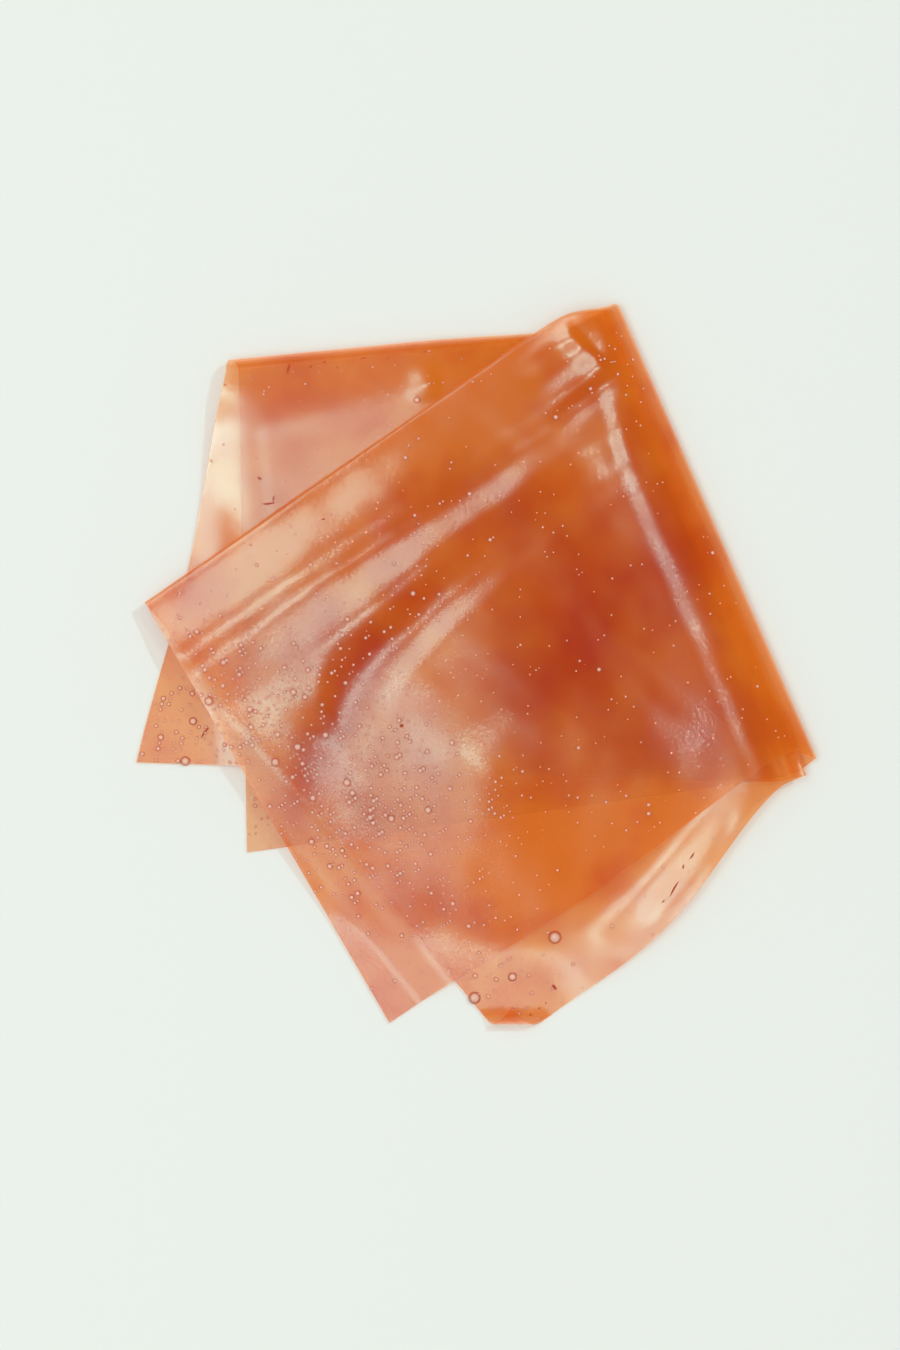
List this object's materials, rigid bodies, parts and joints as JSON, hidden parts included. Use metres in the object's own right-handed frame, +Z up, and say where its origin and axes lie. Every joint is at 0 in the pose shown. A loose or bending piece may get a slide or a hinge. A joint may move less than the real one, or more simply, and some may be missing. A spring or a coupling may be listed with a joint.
{
  "type": "fruit leather",
  "caption": "Thin translucent sheet of fruit leather, folded over and over again into loose layers, with a rounded side fold and fanned-out corners.",
  "frame": {"origin": "middle of the folded sheet's bounding box, on the surface it lies on", "axes": "+Z up from the surface, +X towards the rounded fold, +Y towards the upper folded edge"},
  "size_m": [0.1563, 0.1654, 0.0098],
  "materials": {
    "fruit_leather": "glossy, translucent orange, with fine bubbles"
  },
  "bodies": {
    "root": {"fruit_leather": "fruit_leather"}
  },
  "joints": []
}
